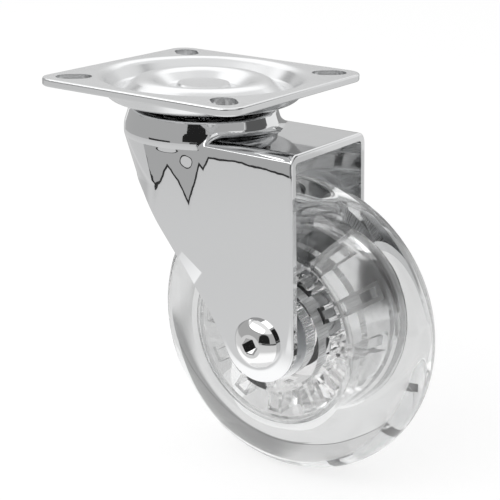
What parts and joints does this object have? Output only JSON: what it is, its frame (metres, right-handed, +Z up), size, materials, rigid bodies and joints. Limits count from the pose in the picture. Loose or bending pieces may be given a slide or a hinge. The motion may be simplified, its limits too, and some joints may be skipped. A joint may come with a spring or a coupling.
{
  "type": "swivel castor",
  "caption": "Swivel castor: square dished plate with slotted corners, ball-bearing swivel head, drawn steel fork and a clear wheel with a ribbed core.",
  "frame": {"origin": "centre of the plate's mounting face, where the swivel axis meets it", "axes": "+Z up out of the mounting face along the swivel axis, +X the way the wheel trails, +Y along the wheel's axle"},
  "size_m": [0.0982, 0.06, 0.0985],
  "materials": {
    "plate_steel": "polished",
    "fork_chrome": "mirror chrome plate",
    "fastener_steel": "bright zinc plate",
    "zinc_steel": "zinc plate",
    "ball_steel": "ground and polished",
    "clear_core": "clear moulded polycarbonate",
    "clear_tyre": "clear cast polyurethane"
  },
  "bodies": {
    "plate": {"top_plate": "plate_steel", "kingpin": "plate_steel", "lower_cup": "zinc_steel"},
    "fork": {"fork": "fork_chrome", "axle_screw": "fastener_steel", "axle_sleeve": "fastener_steel", "bearing_spacer": "zinc_steel", "near_spacer": "zinc_steel", "far_spacer": "zinc_steel", "near_inner_ring": "ball_steel", "far_inner_ring": "ball_steel"},
    "wheel": {"wheel_core": "clear_core", "tyre": "clear_tyre", "near_outer_ring": "ball_steel", "far_outer_ring": "ball_steel", "near_outer_shield": "zinc_steel", "near_inner_shield": "zinc_steel", "far_outer_shield": "zinc_steel", "far_inner_shield": "zinc_steel"},
    "upper_ball_row": {"upper_balls": "ball_steel"},
    "lower_ball_row": {"lower_balls": "ball_steel"},
    "near_ball_set": {"near_race_balls": "ball_steel", "near_cage": "zinc_steel"},
    "far_ball_set": {"far_race_balls": "ball_steel", "far_cage": "zinc_steel"}
  },
  "joints": [
    {"name": "swivel", "type": "hinge", "parent": "plate", "child": "fork", "pos_m": [0, 0, 0], "axis": [0, 0, 1], "continuous": true},
    {"name": "wheel_spin", "type": "hinge", "parent": "fork", "child": "wheel", "pos_m": [0.0297, 0, -0.06], "axis": [0, 1, 0], "continuous": true},
    {"name": "upper_ball_roll", "type": "hinge", "parent": "plate", "child": "upper_ball_row", "pos_m": [0, 0, 0], "axis": [0, 0, 1], "continuous": true},
    {"name": "lower_ball_roll", "type": "hinge", "parent": "plate", "child": "lower_ball_row", "pos_m": [0, 0, 0], "axis": [0, 0, 1], "continuous": true},
    {"name": "near_bearing_roll", "type": "hinge", "parent": "fork", "child": "near_ball_set", "pos_m": [0.0297, 0, -0.06], "axis": [0, 1, 0], "continuous": true},
    {"name": "far_bearing_roll", "type": "hinge", "parent": "fork", "child": "far_ball_set", "pos_m": [0.0297, 0, -0.06], "axis": [0, 1, 0], "continuous": true}
  ],
  "couplings": [
    {"joint": "upper_ball_roll", "follows": "swivel", "ratio": 0.5},
    {"joint": "lower_ball_roll", "follows": "swivel", "ratio": 0.5},
    {"joint": "near_bearing_roll", "follows": "wheel_spin", "ratio": 0.632},
    {"joint": "far_bearing_roll", "follows": "wheel_spin", "ratio": 0.632}
  ]
}
